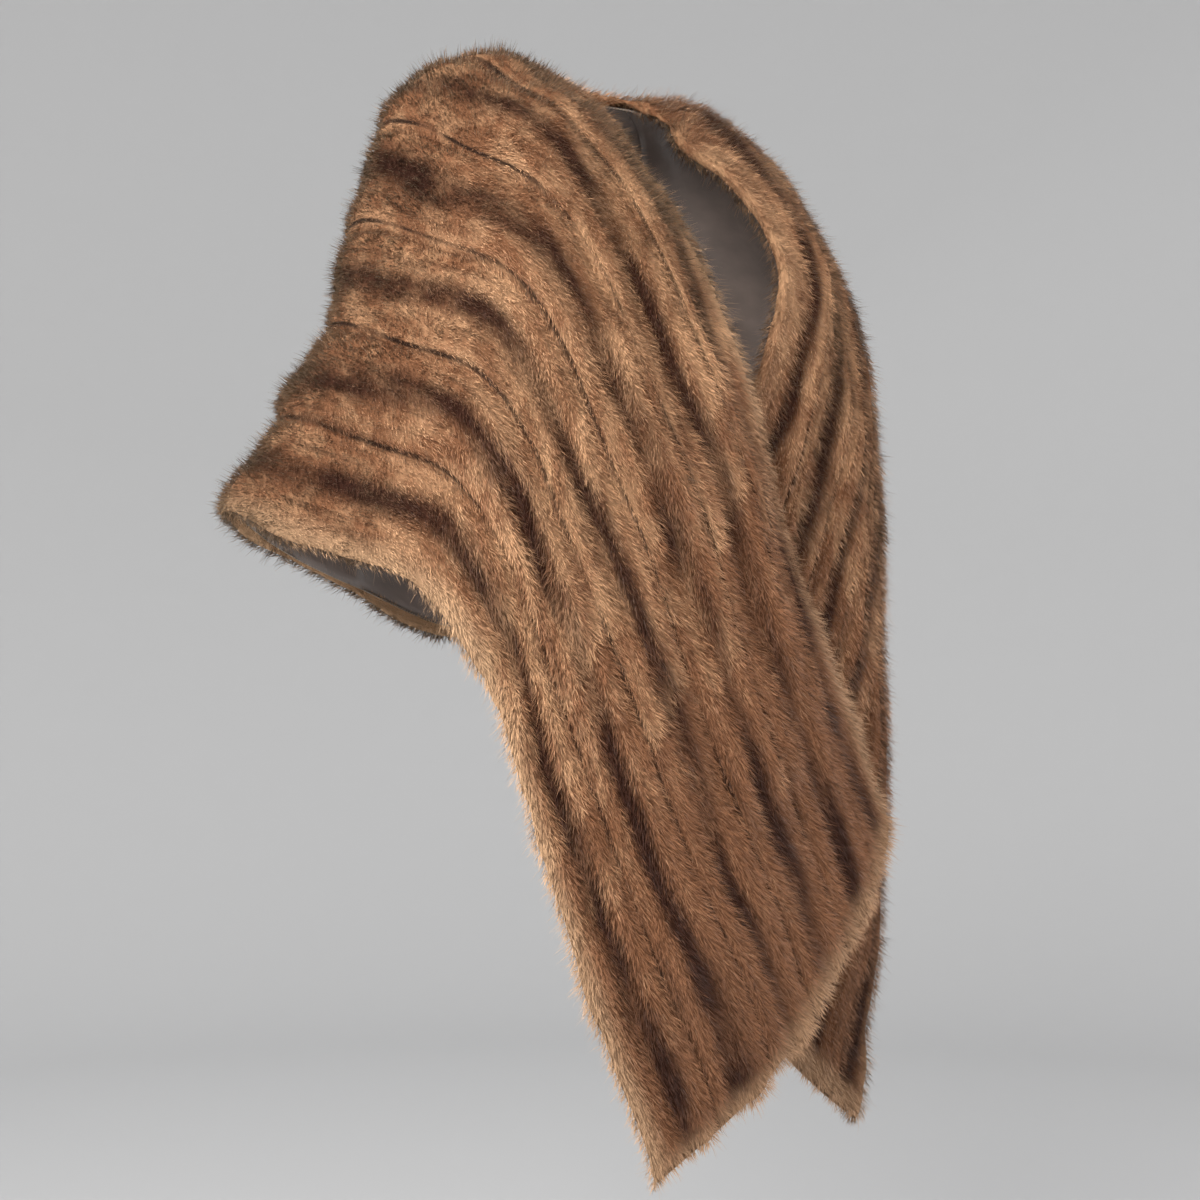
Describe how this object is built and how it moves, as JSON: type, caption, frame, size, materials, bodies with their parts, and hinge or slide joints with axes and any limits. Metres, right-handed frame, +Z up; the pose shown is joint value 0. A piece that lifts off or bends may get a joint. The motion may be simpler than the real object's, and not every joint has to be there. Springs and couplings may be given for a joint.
{
  "type": "fur evening stole",
  "caption": "Deep stole of long fur strips side by side, worn round the shoulders with its tapered fronts crossed, open at the neck and below, with a thin satin lining.",
  "frame": {"origin": "midway between the two shoulders, level with the highest point of the lining's inner face, where the stole rests on the shoulders", "axes": "+Z up, -Y the way the wearer faces, -X the wearer's right"},
  "size_m": [0.6441, 0.408, 0.9606],
  "materials": {
    "fur_row_1": "dense soft fur, light brown with a darker stripe along the middle of the strip",
    "fur_row_2": "dense soft fur, light brown with a darker stripe along the middle of the strip",
    "fur_row_3": "dense soft fur, light brown with a darker stripe along the middle of the strip",
    "fur_row_4": "dense soft fur, light brown with a darker stripe along the middle of the strip",
    "fur_row_5": "dense soft fur, light brown with a darker stripe along the middle of the strip",
    "fur_row_6": "dense soft fur, light brown with a darker stripe along the middle of the strip",
    "taupe_satin": "smooth woven satin with a soft sheen"
  },
  "bodies": {
    "root": {"fur_row_1_right_back": "fur_row_1", "fur_row_1_right_front": "fur_row_1", "fur_row_1_left_back": "fur_row_1", "fur_row_1_left_front": "fur_row_1", "fur_row_2_right_back": "fur_row_2", "fur_row_2_right_front": "fur_row_2", "fur_row_2_left_back": "fur_row_2", "fur_row_2_left_front": "fur_row_2", "fur_row_3_right_back": "fur_row_3", "fur_row_3_right_front": "fur_row_3", "fur_row_3_left_back": "fur_row_3", "fur_row_3_left_front": "fur_row_3", "fur_row_4_right_back": "fur_row_4", "fur_row_4_right_front": "fur_row_4", "fur_row_4_left_back": "fur_row_4", "fur_row_4_left_front": "fur_row_4", "fur_row_5_right_back": "fur_row_5", "fur_row_5_right_front": "fur_row_5", "fur_row_5_left_back": "fur_row_5", "fur_row_5_left_front": "fur_row_5", "fur_row_6_right_back": "fur_row_6", "fur_row_6_right_front": "fur_row_6", "fur_row_6_left_back": "fur_row_6", "fur_row_6_left_front": "fur_row_6", "lining_back": "taupe_satin", "lining_right": "taupe_satin", "lining_left": "taupe_satin"}
  },
  "joints": []
}
